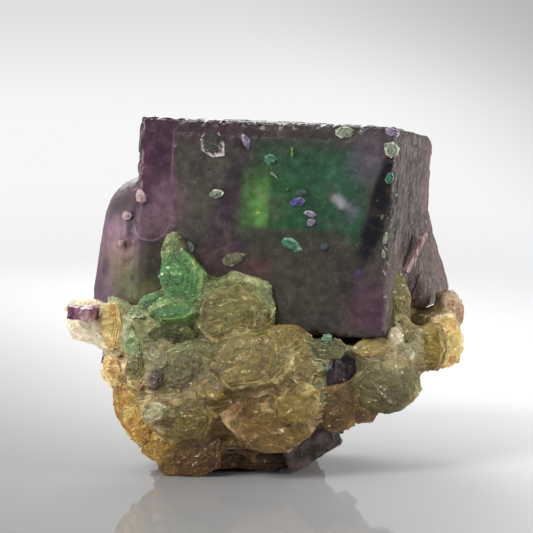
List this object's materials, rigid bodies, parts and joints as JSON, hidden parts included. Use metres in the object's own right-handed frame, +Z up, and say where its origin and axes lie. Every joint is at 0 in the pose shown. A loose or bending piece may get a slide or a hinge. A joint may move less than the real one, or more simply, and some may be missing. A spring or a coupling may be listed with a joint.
{
  "type": "fluorite specimen",
  "caption": "Dark purple and green fluorite cube standing in a cluster of rounded, stepped mica books, resting on the mica's trimmed feet.",
  "frame": {"origin": "centre of the bounding box's bottom face, on the surface that the specimen rests on", "axes": "+Z up, +X to the viewer's right, -Y towards the viewer of the cube's green-windowed front face"},
  "size_m": [0.0482, 0.0358, 0.0423],
  "materials": {
    "dark_fluorite": "glossy, dark purple to olive with a green window",
    "violet_fluorite": "glossy violet",
    "mica": "pearly, stepped sheets in olive, yellow-green and brown"
  },
  "bodies": {
    "root": {"fluorite_cube": "dark_fluorite", "fluorite_pocket_crystal": "violet_fluorite", "fluorite_base_crystal": "dark_fluorite", "fluorite_wing_crystal": "violet_fluorite", "mica_matrix": "mica"}
  },
  "joints": []
}
